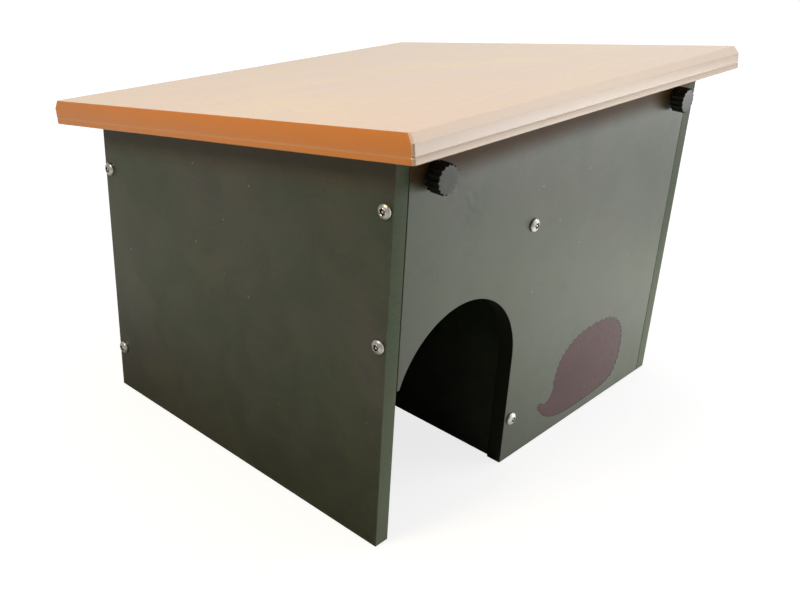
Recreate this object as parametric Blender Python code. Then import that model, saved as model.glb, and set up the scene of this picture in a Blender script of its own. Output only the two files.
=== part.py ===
"""Hedgehog house: four board walls screwed together, a tunnel wall, and a sloping roof that lifts off.

Metres, +Z up. The front faces -Y. The origin is under the middle of the whole house, on the ground.
"""

import math

import bmesh
import bpy
from mathutils import Matrix, Vector

# Walls
board_thickness = 0.0127
body_width = 0.375
body_depth = 0.304
front_height = 0.2837
roof_fall_share = 0.165
rest_gap = 0.0003
board_arris = 0.0005
cut_overrun = 0.005
weld_distance = 0.00001

# Roof panel, square to its own slope
roof_thickness = 0.018
roof_side_reach = 0.0165
roof_front_reach = 0.0273
roof_back_reach = 0.038
roof_corner_radius = 0.002
roof_chamfer_height = 0.0057
roof_front_chamfer = 0.0031
roof_side_chamfer = 0.0016
roof_back_chamfer = 0.0018
roof_groove_height = 0.0045
roof_groove_width = 0.0014
roof_groove_depth = 0.0009
roof_lower_edge = 0.0005

# Doorway at the left end of the front panel
doorway_radius = 0.067
doorway_leg_from_left = 0.145
doorway_spring_height = 0.0975
doorway_tip_height = 0.1215

# Tunnel wall behind the doorway's right leg
partition_setback = 0.0018
partition_length = 0.15
partition_height = 0.2365

# Pan head screws with a ring recess and a centre pin
screw_head_diameter = 0.0102
screw_head_height = 0.0031
screw_head_rim = 0.0009
screw_recess_diameter = 0.0046
screw_recess_depth = 0.0016
screw_pin_diameter = 0.0019
screw_shank_diameter = 0.0042
screw_length = 0.038
screw_point_length = 0.005
screw_hole_clearance = 0.0003
front_screw_from_top = 0.034
back_screw_from_top = 0.0363
screw_above_doorway_tip = 0.0358
partition_screw_from_top = 0.0342
low_screw_height = 0.0387

# Battens under the roof and their countersunk screws
batten_thickness = 0.018
batten_height = 0.036
batten_end_clearance = 0.002
batten_face_clearance = 0.0006
batten_screw_shares = (-0.3, 0.0, 0.3)
batten_screw_diameter = 0.0045
batten_screw_head_diameter = 0.0088
batten_screw_head_height = 0.0028
batten_screw_length = 0.045
batten_socket_diameter = 0.003
batten_socket_depth = 0.0018

# Thumb screws that clamp the front batten to the front panel
knob_diameter = 0.0202
knob_height = 0.0108
knob_flutes = 16
knob_flute_depth = 0.0012
knob_edge = 0.0004
knob_below_roof = 0.018
knob_from_left = 0.0335
knob_from_right = 0.0365
stud_diameter = 0.006
stud_in_knob = 0.0085
stud_in_batten = 0.016
stud_clearance = 0.00035
stud_tip_edge = 0.0007
slot_clearance = 0.0005
washer_diameter = 0.012
washer_thickness = 0.0016
washer_edge = 0.0002
insert_diameter = 0.0095
insert_length = 0.013
insert_ring_depth = 0.0004
insert_rings = 4

# Routed hedgehog figure at the lower right of the front panel
figure_length = 0.131
figure_height = 0.075
figure_from_left = 0.191
figure_from_ground = 0.0095
figure_depth = 0.0008
figure_spine_height = 0.0022
figure_spines = 28
figure_spine_lean_share = 0.7
figure_back_centre_shares = (0.572, 0.44)
figure_back_radius_shares = (0.405, 0.53)
figure_back_bend_share = 0.82
figure_back_start = math.radians(180)
figure_back_end = math.radians(-40)
belly_shares = ((0.845, -0.012), (0.44, -0.015))
chin_shares = ((0.18, -0.015), (0.075, 0.145))
nose_shares = ((0.004, 0.27), (0.0, 0.31), (0.012, 0.335), (0.038, 0.33))
brow_bend_shares = (0.125, 0.21)

# Facets
arch_steps = 40
round_steps = 16
flute_steps = 6
corner_steps = 4
curve_steps = 8

# Worked out from the sizes above
slope = math.atan(roof_fall_share)
roof_run = body_depth + roof_front_reach + roof_back_reach
roof_length = roof_run / math.cos(slope)
roof_width = body_width + 2 * roof_side_reach
roof_reach_sum = roof_run + (roof_thickness - roof_chamfer_height + roof_lower_edge) * math.sin(slope)
front_y = roof_front_reach - roof_reach_sum / 2
back_y = front_y + body_depth
left_x = -body_width / 2
right_x = body_width / 2
inner_front_y = front_y + board_thickness
inner_back_y = back_y - board_thickness
inner_left_x = left_x + board_thickness
inner_right_x = right_x - board_thickness
partition_x = left_x + doorway_leg_from_left + partition_setback
batten_length = body_width - 2 * (board_thickness + batten_end_clearance)
stud_hole_radius = stud_diameter / 2 + stud_clearance


def roof_line(y):
    """Height of the roof's underside at this depth."""
    return front_height - roof_fall_share * (y - front_y)


def wall_top(y):
    """Top edge of a wall that carries the roof."""
    return roof_line(y) - rest_gap / math.cos(slope)


stud_z = roof_line(front_y) - knob_below_roof


def make_material(name, colour, roughness, metallic=0.0):
    material = bpy.data.materials.new(name)
    material.use_nodes = True
    shader = material.node_tree.nodes["Principled BSDF"]
    shader.inputs["Base Color"].default_value = (*colour, 1.0)
    shader.inputs["Roughness"].default_value = roughness
    shader.inputs["Metallic"].default_value = metallic
    return material


def add_object(name, shape, material=None):
    """Turns a bmesh into a named object whose faces point outwards."""
    bmesh.ops.recalc_face_normals(shape, faces=shape.faces[:])
    mesh = bpy.data.meshes.new(name)
    shape.to_mesh(mesh)
    shape.free()
    piece = bpy.data.objects.new(name, mesh)
    bpy.context.scene.collection.objects.link(piece)
    if material:
        mesh.materials.append(material)
    return piece


def add_empty(name, place):
    empty = bpy.data.objects.new(name, None)
    empty.location = place
    bpy.context.scene.collection.objects.link(empty)
    return empty


def hang(child, parent):
    """Parents a piece without moving it."""
    bpy.context.view_layer.update()
    child.parent = parent
    child.matrix_parent_inverse = parent.matrix_world.inverted()


def extruded(outline, plane, start, end):
    """Solid of a flat outline. Plane yz runs along X, and plane xz runs along Y."""
    shape = bmesh.new()
    place = {"yz": lambda a, b: (start, a, b), "xz": lambda a, b: (a, start, b)}[plane]
    reach = {"yz": Vector((end - start, 0, 0)), "xz": Vector((0, end - start, 0))}[plane]
    face = shape.faces.new([shape.verts.new(place(a, b)) for a, b in outline])
    grown = bmesh.ops.extrude_face_region(shape, geom=[face])["geom"]
    moved = [item for item in grown if isinstance(item, bmesh.types.BMVert)]
    bmesh.ops.translate(shape, vec=reach, verts=moved)
    return shape


def turned(profile, steps=round_steps):
    """Solid turned round Z from (radius, height) points.

    A profile that starts on the axis ends on it too. Any other one closes on itself and makes a ring.
    """
    shape = bmesh.new()
    points = [shape.verts.new((radius, 0, height)) for radius, height in profile]
    edges = [shape.edges.new(pair) for pair in zip(points, points[1:])]
    if profile[0][0] > 0:
        edges.append(shape.edges.new((points[-1], points[0])))
    bmesh.ops.spin(
        shape, geom=points + edges, cent=(0, 0, 0), axis=(0, 0, 1), angle=2 * math.pi, steps=steps, use_merge=True
    )
    on_axis = [vert for vert in shape.verts if vert.co.xy.length < weld_distance]
    bmesh.ops.remove_doubles(shape, verts=on_axis, dist=weld_distance)
    return shape


def facing(direction):
    """Turn that takes a piece's own +Z to this direction."""
    return Vector(direction).to_track_quat("Z", "Y").to_euler()


def aim(piece, place, direction):
    piece.location = place
    piece.rotation_euler = facing(direction)
    return piece


def bevel_edges(piece, width):
    bevel = piece.modifiers.new("arris", "BEVEL")
    bevel.width = width
    bevel.segments = 1
    bevel.limit_method = "ANGLE"


def cut(piece, name, shape):
    """Cuts a shape out of a piece and keeps the cutter as a hidden guide."""
    cutter = add_object(name, shape)
    cutter.hide_render = True
    cutter.display_type = "WIRE"
    boolean = piece.modifiers.new(name, "BOOLEAN")
    boolean.operation = "DIFFERENCE"
    boolean.solver = "EXACT"
    boolean.object = cutter
    return cutter


def rods(runs, radius, steps=round_steps):
    """One shape of several round rods, each from a start to an end."""
    shape = bmesh.new()
    for start, end in runs:
        along = Vector(end) - Vector(start)
        middle = (Vector(start) + Vector(end)) / 2
        turn = along.to_track_quat("Z", "Y").to_matrix().to_4x4()
        bmesh.ops.create_cone(
            shape, cap_ends=True, segments=steps, radius1=radius, radius2=radius,
            depth=along.length, matrix=Matrix.Translation(middle) @ turn,
        )
    return shape


def shade_round(piece):
    piece.data.shade_smooth()
    piece.data.set_sharp_from_angle(angle=math.radians(35))


def side_outline():
    return [
        (front_y, 0),
        (back_y, 0),
        (back_y, wall_top(back_y)),
        (front_y, wall_top(front_y)),
    ]


def wall_outline(near, far):
    """Cross-section of a board that stands across the house under the sloping roof."""
    return [(near, 0), (far, 0), (far, wall_top(far)), (near, wall_top(near))]


def arc(centre, radius, start, end, steps):
    """Points of an arc from one angle to another, both ends included."""
    return [
        (centre[0] + radius * math.cos(angle), centre[1] + radius * math.sin(angle))
        for angle in (start + (end - start) * step / steps for step in range(steps + 1))
    ]


def doorway_outline():
    """Arch on one straight leg. Its left end stops at a blunt tip beside the side panel."""
    centre = (left_x + doorway_leg_from_left - doorway_radius, doorway_spring_height)
    tip_rise = doorway_tip_height - doorway_spring_height
    tip_angle = math.pi - math.asin(tip_rise / doorway_radius)
    arch = arc(centre, doorway_radius, 0, tip_angle, arch_steps)
    return [
        (left_x, doorway_tip_height),
        (left_x, -cut_overrun),
        (left_x + doorway_leg_from_left, -cut_overrun),
    ] + arch


def slot_outline(x):
    """Notch that is round at the stud and open at the panel's top."""
    radius = stud_diameter / 2 + slot_clearance
    top = wall_top(front_y) + cut_overrun
    return [(x + radius, top), (x - radius, top)] + arc((x, stud_z), radius, math.pi, 2 * math.pi, round_steps)


def bend(start, control, end):
    """Points of a smooth bend, without its first point."""
    points = []
    for step in range(1, curve_steps + 1):
        t = step / curve_steps
        weights = ((1 - t) ** 2, 2 * t * (1 - t), t**2)
        points.append(tuple(sum(w * p[i] for w, p in zip(weights, (start, control, end))) for i in (0, 1)))
    return points


def figure_outline():
    """A plain hedgehog seen from the side: round spined back, flat belly and pointed snout."""

    def at(shares):
        return (
            left_x + figure_from_left + shares[0] * figure_length,
            figure_from_ground + shares[1] * figure_height,
        )

    def on_back(angle, rise):
        """Point of a squarish oval, raised by the height of a spine."""
        shares = []
        for centre, radius, reach in zip(
            figure_back_centre_shares, figure_back_radius_shares, (math.cos(angle), math.sin(angle))
        ):
            shares.append(centre + radius * math.copysign(abs(reach) ** figure_back_bend_share, reach))
        x, z = at(shares)
        return x + rise * math.cos(angle), z + rise * math.sin(angle)

    outline = []
    step = (figure_back_end - figure_back_start) / figure_spines
    for spine in range(figure_spines):
        foot = figure_back_start + step * spine
        outline.append(on_back(foot, 0))
        outline.append(on_back(foot + step * figure_spine_lean_share, figure_spine_height))
    outline.append(on_back(figure_back_end, 0))
    for control, end in (belly_shares, chin_shares):
        outline += bend(outline[-1], at(control), at(end))
    outline += [at(shares) for shares in nose_shares]
    outline += bend(outline[-1], at(brow_bend_shares), outline[0])[:-1]
    return outline


def screw_shape():
    """Pan head at the origin, facing +Z, with its shank running down to a point."""
    head_radius = screw_head_diameter / 2
    shank_radius = screw_shank_diameter / 2
    recess_radius = screw_recess_diameter / 2
    pin_radius = screw_pin_diameter / 2
    crown = screw_head_height - screw_head_rim
    crown_share = 1 - (recess_radius / head_radius) ** 2
    mid_share = (recess_radius / head_radius + 1) / 2
    profile = [
        (0, screw_head_height - screw_head_rim),
        (pin_radius, screw_head_height - screw_head_rim),
        (pin_radius, screw_head_height - screw_recess_depth),
        (recess_radius, screw_head_height - screw_recess_depth),
        (recess_radius, screw_head_rim + crown * math.sqrt(crown_share)),
        (head_radius * mid_share, screw_head_rim + crown * math.sqrt(1 - mid_share**2)),
        (head_radius, screw_head_rim),
        (head_radius, 0),
        (shank_radius, 0),
        (shank_radius, screw_point_length - screw_length),
        (0, -screw_length),
    ]
    return turned(profile)


def batten_screw_shape():
    """Countersunk screw with its head's face at the origin and its shank running along -Z."""
    head_radius = batten_screw_head_diameter / 2
    shank_radius = batten_screw_diameter / 2
    socket_radius = batten_socket_diameter / 2
    profile = [
        (0, -batten_socket_depth),
        (socket_radius, -batten_socket_depth),
        (socket_radius, 0),
        (head_radius, 0),
        (shank_radius, -batten_screw_head_height),
        (shank_radius, screw_point_length - batten_screw_length),
        (0, -batten_screw_length),
    ]
    return turned(profile)


def batten_screw_hole():
    """Countersunk hole that clears a batten screw all the way round."""
    clearance = screw_hole_clearance
    head_radius = batten_screw_head_diameter / 2 + clearance
    shank_radius = batten_screw_diameter / 2 + clearance
    profile = [
        (0, cut_overrun),
        (head_radius, cut_overrun),
        (head_radius, 0),
        (shank_radius, -batten_screw_head_height - clearance),
        (shank_radius, -batten_screw_length - clearance),
        (0, -batten_screw_length - clearance),
    ]
    return turned(profile)


def merged(parts):
    """One shape of several placed shapes. Each part is a shape and a matrix."""
    whole = bmesh.new()
    for shape, matrix in parts:
        bmesh.ops.transform(shape, matrix=matrix, verts=shape.verts[:])
        mesh = bpy.data.meshes.new("part of a cutter")
        shape.to_mesh(mesh)
        shape.free()
        whole.from_mesh(mesh)
        bpy.data.meshes.remove(mesh)
    return whole


def side_screw_places(side):
    """(y, z) of the screws through one side panel: two into the front board and two into the back board."""
    front_middle = front_y + board_thickness / 2
    back_middle = back_y - board_thickness / 2
    low_front = low_screw_height
    if side == "left":
        low_front = doorway_tip_height + screw_above_doorway_tip
    return {
        "front_high": (front_middle, roof_line(front_middle) - front_screw_from_top),
        "front_low": (front_middle, low_front),
        "back_high": (back_middle, roof_line(back_middle) - back_screw_from_top),
        "back_low": (back_middle, low_screw_height),
    }


def partition_screw_places():
    """(x, z) of the two screws through the front panel into the tunnel wall."""
    middle = partition_x + board_thickness / 2
    return {
        "high": (middle, partition_height - partition_screw_from_top),
        "low": (middle, low_screw_height),
    }


def rounded_loop(shape, near, far, side, height, radius):
    """Edges of a rounded rectangle on the roof's own plane, centred in width."""
    corners = [
        (side - radius, near + radius, -math.pi / 2),
        (side - radius, far - radius, 0),
        (radius - side, far - radius, math.pi / 2),
        (radius - side, near + radius, math.pi),
    ]
    points = []
    for x, y, start in corners:
        points += arc((x, y), radius, start, start + math.pi / 2, corner_steps)
    verts = [shape.verts.new((x, y, height)) for x, y in points]
    return [shape.edges.new(pair) for pair in zip(verts, verts[1:] + verts[:1])]


def roof_shape():
    """Slab with a chamfered top edge, a V groove and an eased lower edge, its underside on Z = 0."""
    half = roof_width / 2
    groove_low = roof_groove_height - roof_groove_width / 2
    groove_high = roof_groove_height + roof_groove_width / 2
    chamfer_foot = roof_thickness - roof_chamfer_height
    rings = [
        (roof_lower_edge, roof_lower_edge, roof_lower_edge, 0),
        (0, 0, 0, roof_lower_edge),
        (0, 0, 0, groove_low),
        (roof_groove_depth, roof_groove_depth, roof_groove_depth, roof_groove_height),
        (0, 0, 0, groove_high),
        (0, 0, 0, chamfer_foot),
        (roof_front_chamfer, roof_back_chamfer, roof_side_chamfer, roof_thickness),
    ]
    shape = bmesh.new()
    loops = []
    for front_inset, back_inset, side_inset, height in rings:
        near, far, side = front_inset, roof_length - back_inset, half - side_inset
        loops.append(rounded_loop(shape, near, far, side, height, roof_corner_radius))
    for low, high in zip(loops, loops[1:]):
        bmesh.ops.bridge_loops(shape, edges=low + high)
    for loop in (loops[0], loops[-1]):
        bmesh.ops.contextual_create(shape, geom=loop)
    return shape


def knob_shape():
    """Fluted knob standing on Z = 0, with sharp ridges between round flutes."""
    points = knob_flutes * flute_steps

    def ring(shape, height, inset):
        verts = []
        for point in range(points):
            angle = 2 * math.pi * point / points
            flute = knob_flute_depth * abs(math.sin(angle * knob_flutes / 2))
            radius = knob_diameter / 2 - flute - inset
            verts.append(shape.verts.new((radius * math.cos(angle), radius * math.sin(angle), height)))
        return [shape.edges.new(pair) for pair in zip(verts, verts[1:] + verts[:1])]

    shape = bmesh.new()
    loops = [
        ring(shape, 0, knob_edge),
        ring(shape, knob_edge, 0),
        ring(shape, knob_height - knob_edge, 0),
        ring(shape, knob_height, knob_edge),
    ]
    for low, high in zip(loops, loops[1:]):
        bmesh.ops.bridge_loops(shape, edges=low + high)
    for loop in (loops[0], loops[-1]):
        bmesh.ops.contextual_create(shape, geom=loop)
    return shape


def insert_shape():
    """Threaded brass sleeve with shallow rings outside, its face on Z = 0 and its body along -Z."""
    outer = insert_diameter / 2
    pitch = insert_length / insert_rings
    outline = [(stud_hole_radius, 0), (outer, 0)]
    for ring in range(insert_rings):
        top = -pitch * ring
        outline += [
            (outer, top - pitch / 2),
            (outer - insert_ring_depth, top - pitch * 3 / 4),
        ]
    outline += [(outer, -insert_length), (stud_hole_radius, -insert_length)]
    return turned(outline)


def make_walls(board):
    left = add_object("side_panel_left", extruded(side_outline(), "yz", left_x, inner_left_x), board)
    right = add_object("side_panel_right", extruded(side_outline(), "yz", inner_right_x, right_x), board)
    span = (inner_left_x + rest_gap, inner_right_x - rest_gap)
    front = add_object("front_panel", extruded(wall_outline(front_y, inner_front_y), "yz", *span), board)
    back = add_object("back_panel", extruded(wall_outline(inner_back_y, back_y), "yz", *span), board)
    partition_outline = [
        (inner_front_y + rest_gap, 0),
        (inner_front_y + partition_length, 0),
        (inner_front_y + partition_length, partition_height),
        (inner_front_y + rest_gap, partition_height),
    ]
    partition = add_object(
        "partition", extruded(partition_outline, "yz", partition_x, partition_x + board_thickness), board
    )
    for piece in (left, right, front, back, partition):
        bevel_edges(piece, board_arris)
    hole_radius = screw_shank_diameter / 2 + screw_hole_clearance
    reach = screw_length + screw_hole_clearance

    for side, panel, outer, inward in (("left", left, left_x, 1), ("right", right, right_x, -1)):
        runs = {
            name: ((outer - inward * cut_overrun, y, z), (outer + inward * reach, y, z))
            for name, (y, z) in side_screw_places(side).items()
        }
        cut(panel, f"holes in {side} side", rods(runs.values(), hole_radius))
        for board_name, target in (("front", front), ("back", back)):
            chosen = [run for name, run in runs.items() if name.startswith(board_name)]
            cut(target, f"{side} pilots in {board_name}", rods(chosen, hole_radius))

    runs = [
        ((x, front_y - cut_overrun, z), (x, front_y + reach, z)) for x, z in partition_screw_places().values()
    ]
    cut(front, "tunnel wall holes", rods(runs, hole_radius))
    cut(partition, "tunnel wall pilots", rods(runs, hole_radius))

    through = (front_y - cut_overrun, inner_front_y + cut_overrun)
    cut(front, "doorway", extruded(doorway_outline(), "xz", *through))
    for side, x in knob_places().items():
        cut(front, f"{side} slot", extruded(slot_outline(x), "xz", *through))
    pocket = extruded(figure_outline(), "xz", front_y - cut_overrun, front_y + figure_depth)
    cut(front, "figure pocket", pocket)


def knob_places():
    return {"left": left_x + knob_from_left, "right": right_x - knob_from_right}


def make_wall_screws(steel):
    for side, outer, outward in (("left", left_x, -1), ("right", right_x, 1)):
        for name, (y, z) in side_screw_places(side).items():
            screw = add_object(f"screw_{side}_{name}", screw_shape(), steel)
            aim(screw, (outer + outward * rest_gap, y, z), (outward, 0, 0))
            shade_round(screw)
    for name, (x, z) in partition_screw_places().items():
        screw = add_object(f"screw_partition_{name}", screw_shape(), steel)
        aim(screw, (x, front_y - rest_gap, z), (0, -1, 0))
        shade_round(screw)


def batten_outline(near, far):
    """Cross-section of a batten whose top is planed to the roof's slope."""
    foot = roof_line(near) - batten_height
    return [(near, foot), (far, foot), (far, wall_top(far)), (near, wall_top(near))]


def make_roof(tan, board, steel, brass):
    roof_empty = add_empty("roof_lift", (0, front_y, roof_line(front_y)))
    roof = add_object("roof_panel", roof_shape(), tan)
    roof.location = (0, front_y - roof_front_reach, roof_line(front_y - roof_front_reach))
    roof.rotation_euler = (-slope, 0, 0)
    pieces = [roof]

    half = batten_length / 2
    spans = {
        "front": inner_front_y + batten_face_clearance,
        "rear": inner_back_y - batten_face_clearance - batten_thickness,
    }
    holes = []
    for name, near in spans.items():
        outline = batten_outline(near, near + batten_thickness)
        batten = add_object(f"roof_batten_{name}", extruded(outline, "yz", -half, half), board)
        bevel_edges(batten, board_arris)
        foot = roof_line(near) - batten_height
        middle = near + batten_thickness / 2
        places = [(share * batten_length, middle, foot) for share in batten_screw_shares]
        turn = Vector((0, 0, -1)).to_track_quat("Z", "Y").to_matrix().to_4x4()
        sunk = [(batten_screw_hole(), Matrix.Translation(place) @ turn) for place in places]
        cutter = cut(batten, f"{name} batten holes", merged(sunk))
        holes.append(cutter)
        for count, place in enumerate(places, 1):
            screw = add_object(f"batten_screw_{name}_{count}", batten_screw_shape(), steel)
            aim(screw, place, (0, 0, -1))
            shade_round(screw)
            pieces.append(screw)
        pieces.append(batten)
        if name == "front":
            socket_radius = insert_diameter / 2 + rest_gap
            runs = [((x, near - cut_overrun, stud_z), (x, near + batten_thickness + cut_overrun, stud_z))
                    for x in knob_places().values()]
            cut(batten, "insert holes", rods(runs, socket_radius))
    for cutter in holes:
        boolean = roof.modifiers.new(cutter.name, "BOOLEAN")
        boolean.operation = "DIFFERENCE"
        boolean.solver = "EXACT"
        boolean.object = cutter

    for side, x in knob_places().items():
        insert = add_object(f"threaded_insert_{side}", insert_shape(), brass)
        aim(insert, (x, spans["front"], stud_z), (0, -1, 0))
        shade_round(insert)
        pieces.append(insert)
    for piece in pieces:
        hang(piece, roof_empty)
    return roof_empty


def make_thumb_screws(roof_empty, plastic, steel):
    washer_y = front_y - rest_gap
    knob_y = washer_y - washer_thickness - rest_gap
    for side, x in knob_places().items():
        axis = add_empty(f"thumb_screw_{side}", (x, front_y, stud_z))
        hang(axis, roof_empty)

        washer_profile = [
            (stud_hole_radius, 0),
            (washer_diameter / 2, 0),
            (washer_diameter / 2, washer_thickness - washer_edge),
            (washer_diameter / 2 - washer_edge, washer_thickness),
            (stud_hole_radius, washer_thickness),
        ]
        washer = add_object(f"washer_{side}", turned(washer_profile, 2 * round_steps), steel)
        aim(washer, (x, washer_y, stud_z), (0, -1, 0))

        knob = add_object(f"knob_{side}", knob_shape(), plastic)
        aim(knob, (x, knob_y, stud_z), (0, -1, 0))
        bore = rods([((0, 0, -cut_overrun), (0, 0, stud_in_knob + rest_gap))], stud_hole_radius)
        cutter = cut(knob, f"{side} knob bore", bore)
        aim(cutter, knob.location, (0, -1, 0))

        reach = stud_in_knob + washer_thickness + 2 * rest_gap + board_thickness + stud_in_batten
        stud_radius = stud_diameter / 2
        stud_profile = [
            (0, 0),
            (stud_radius, 0),
            (stud_radius, stud_tip_edge - reach),
            (stud_radius - stud_tip_edge, -reach),
            (0, -reach),
        ]
        stud = add_object(f"stud_{side}", turned(stud_profile), steel)
        aim(stud, (x, knob_y - stud_in_knob, stud_z), (0, -1, 0))

        for piece in (washer, knob, stud):
            shade_round(piece)
            hang(piece, axis)


def main():
    for piece in list(bpy.data.objects):
        bpy.data.objects.remove(piece)
    board = make_material("recycled board, dark green", (0.062, 0.073, 0.048), 0.55)
    tan = make_material("recycled board, tan", (0.56, 0.31, 0.13), 0.45)
    steel = make_material("stainless steel", (0.62, 0.61, 0.59), 0.3, 1.0)
    brass = make_material("brass", (0.72, 0.5, 0.2), 0.35, 1.0)
    plastic = make_material("black knob plastic", (0.012, 0.013, 0.013), 0.5)
    make_walls(board)
    make_wall_screws(steel)
    roof_empty = make_roof(tan, board, steel, brass)
    make_thumb_screws(roof_empty, plastic, steel)


main()
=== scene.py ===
"""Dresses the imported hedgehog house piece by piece, then sets its floor, lights and camera."""
import math

import bmesh
import bpy
from mathutils import Matrix, Vector


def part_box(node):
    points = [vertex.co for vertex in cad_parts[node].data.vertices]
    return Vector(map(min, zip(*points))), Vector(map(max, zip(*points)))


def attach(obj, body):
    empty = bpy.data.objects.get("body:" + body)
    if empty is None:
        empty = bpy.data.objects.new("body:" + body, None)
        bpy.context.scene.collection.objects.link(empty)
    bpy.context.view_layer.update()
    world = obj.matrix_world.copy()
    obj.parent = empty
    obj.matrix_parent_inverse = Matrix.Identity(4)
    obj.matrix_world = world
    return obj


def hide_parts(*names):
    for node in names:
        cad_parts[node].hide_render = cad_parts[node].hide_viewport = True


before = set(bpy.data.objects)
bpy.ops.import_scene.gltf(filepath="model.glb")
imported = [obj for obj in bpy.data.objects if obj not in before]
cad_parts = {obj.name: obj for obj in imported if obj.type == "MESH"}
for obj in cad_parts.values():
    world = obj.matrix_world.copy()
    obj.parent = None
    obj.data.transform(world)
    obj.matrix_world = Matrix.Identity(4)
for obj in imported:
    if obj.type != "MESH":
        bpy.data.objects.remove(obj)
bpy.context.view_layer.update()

# Wall boards. Two side panels, the front panel with its doorway, the back panel and the tunnel
# wall, sawn from dark green recycled plastic board. They are satin on their faces, dull and worn
# on their sawn edges, and held together by the screws below. A brown shadow is painted under the
# eaves, and painted light makes the sawn edges lighter towards the floor.
join_distance = 0.00002
flat_within = math.radians(0.6)
sharp_edge = math.radians(50)
edge_lean = 0.3
face_lean = 0.95

green = (0.050, 0.067, 0.036, 1)
green_warm = (0.064, 0.070, 0.030, 1)
green_cool = (0.044, 0.066, 0.052, 1)
green_plum = (0.078, 0.064, 0.060, 1)
green_deep = (0.026, 0.036, 0.020, 1)
green_sawn = (0.104, 0.148, 0.076, 1)
# Painted light on the sawn edges near the floor.
green_sawn_lit = (0.270, 0.315, 0.220, 1)
green_worn_and_highlit = (0.105, 0.125, 0.090, 1)
scuff_grey = (0.085, 0.092, 0.090, 1)
fleck_pale = (0.240, 0.260, 0.210, 1)
fleck_dark = (0.012, 0.014, 0.009, 1)
doorway_cut_dark = (0.020, 0.020, 0.013, 1)
eave_shadow_brown = (0.200, 0.088, 0.034, 1)
board_sheen = (0.90, 1.0, 0.80, 1)
cloud_sizes = (6.5, 19.0, 13.0, 27.0)
fleck_kinds = ((34.0, 0.16, 0.00085), (150.0, 0.10, 0.00045), (52.0, 0.12, 0.0009))
board_grain = 900.0
board_crackle = 330.0

slope = math.atan(0.165)
roof_line = Vector((0, math.sin(slope), math.cos(slope)))
side_low, side_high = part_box("side_panel_left")
eave_height = Vector((0, side_low.y, side_high.z)).dot(roof_line)
# Painted shadow: how far below the eaves the brown band is full, and where it ends.
eave_shade_full = 0.010
eave_shade_end = 0.029
edge_light_height = 0.20


def fill(tree, sockets, values):
    """Gives sockets their values, or links them to the outputs of other nodes."""
    for socket, value in values.items():
        if isinstance(value, bpy.types.NodeSocket):
            tree.links.new(value, sockets[socket])
        else:
            sockets[socket].default_value = value


def node(tree, kind, inputs=None, **settings):
    """A new shader node with its settings and inputs."""
    made = tree.nodes.new(kind)
    for setting, value in settings.items():
        setattr(made, setting, value)
    fill(tree, made.inputs, inputs or {})
    return made


def maths(tree, operation, first, second):
    """One sum of two values."""
    return node(tree, "ShaderNodeMath", {0: first, 1: second}, operation=operation).outputs[0]


def stretch(tree, value, low, high):
    """A value spread so that low becomes 0 and high becomes 1, softly at both ends."""
    return node(
        tree, "ShaderNodeMapRange", {"Value": value, "From Min": low, "From Max": high},
        interpolation_type="SMOOTHSTEP",
    ).outputs[0]


def noise(tree, place, scale, detail, roughness=0.5, distortion=0.0):
    """A soft cloudy pattern."""
    return node(
        tree, "ShaderNodeTexNoise",
        {"Vector": place, "Scale": scale, "Detail": detail, "Roughness": roughness,
         "Distortion": distortion},
    ).outputs[0]


def vectors(tree, operation, *places):
    """A sum of one or more places."""
    return node(
        tree, "ShaderNodeVectorMath", dict(enumerate(places)), operation=operation
    ).outputs


def mixed(tree, mask, first, second):
    """Two colours mixed by a mask."""
    return node(
        tree, "ShaderNodeMix", {0: mask, 6: first, 7: second}, data_type="RGBA"
    ).outputs[2]


def layered(tree, colour, layers):
    """A colour with others laid over it, each by its own mask and strength."""
    for mask, strength, over in layers:
        colour = mixed(tree, maths(tree, "MULTIPLY", mask, strength), colour, over)
    return colour


def summed(tree, value, masks):
    """A value with some masks added to it, each by its own strength."""
    for mask, strength in masks:
        value = maths(tree, "ADD", value, maths(tree, "MULTIPLY", mask, strength))
    return value


def faded(tree, value, masks):
    """A value taken down by some masks, each by its own strength."""
    for mask, strength in masks:
        kept_share = maths(tree, "SUBTRACT", 1.0, maths(tree, "MULTIPLY", mask, strength))
        value = maths(tree, "MULTIPLY", value, kept_share)
    return value


def effect(name, places, numbers, gives):
    """An empty node group that takes these places and numbers, with its start and its end."""
    group = bpy.data.node_groups.new(name, "ShaderNodeTree")
    for way, kind, sockets in (
        ("INPUT", "NodeSocketVector", places),
        ("INPUT", "NodeSocketFloat", numbers),
        ("OUTPUT", "NodeSocketFloat", gives),
    ):
        for socket in sockets:
            group.interface.new_socket(socket, in_out=way, socket_type=kind)
    start = group.nodes.new("NodeGroupInput")
    end = group.nodes.new("NodeGroupOutput")
    return group, start.outputs, end.inputs


def place_effect(tree, group, **inputs):
    """A node group placed in a material with its own values."""
    placed = tree.nodes.new("ShaderNodeGroup")
    placed.node_tree = group
    fill(tree, placed.inputs, {socket.replace("_", " "): value for socket, value in inputs.items()})
    return placed.outputs


# Clouding: broad soft patches, and a mottle much finer than they are.
mottle_fineness = 14.0
clouding, given, gives = effect("clouding", ["Place"], ["Size"], ["Cloud", "Mottle"])
finer = maths(clouding, "MULTIPLY", given["Size"], mottle_fineness)
patches = noise(clouding, given["Place"], given["Size"], 3.0, 0.55, 0.6)
mottling = noise(clouding, given["Place"], finer, 5.0, 0.7)
clouding.links.new(stretch(clouding, patches, 0.36, 0.66), gives["Cloud"])
clouding.links.new(stretch(clouding, mottling, 0.25, 0.75), gives["Mottle"])

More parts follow.
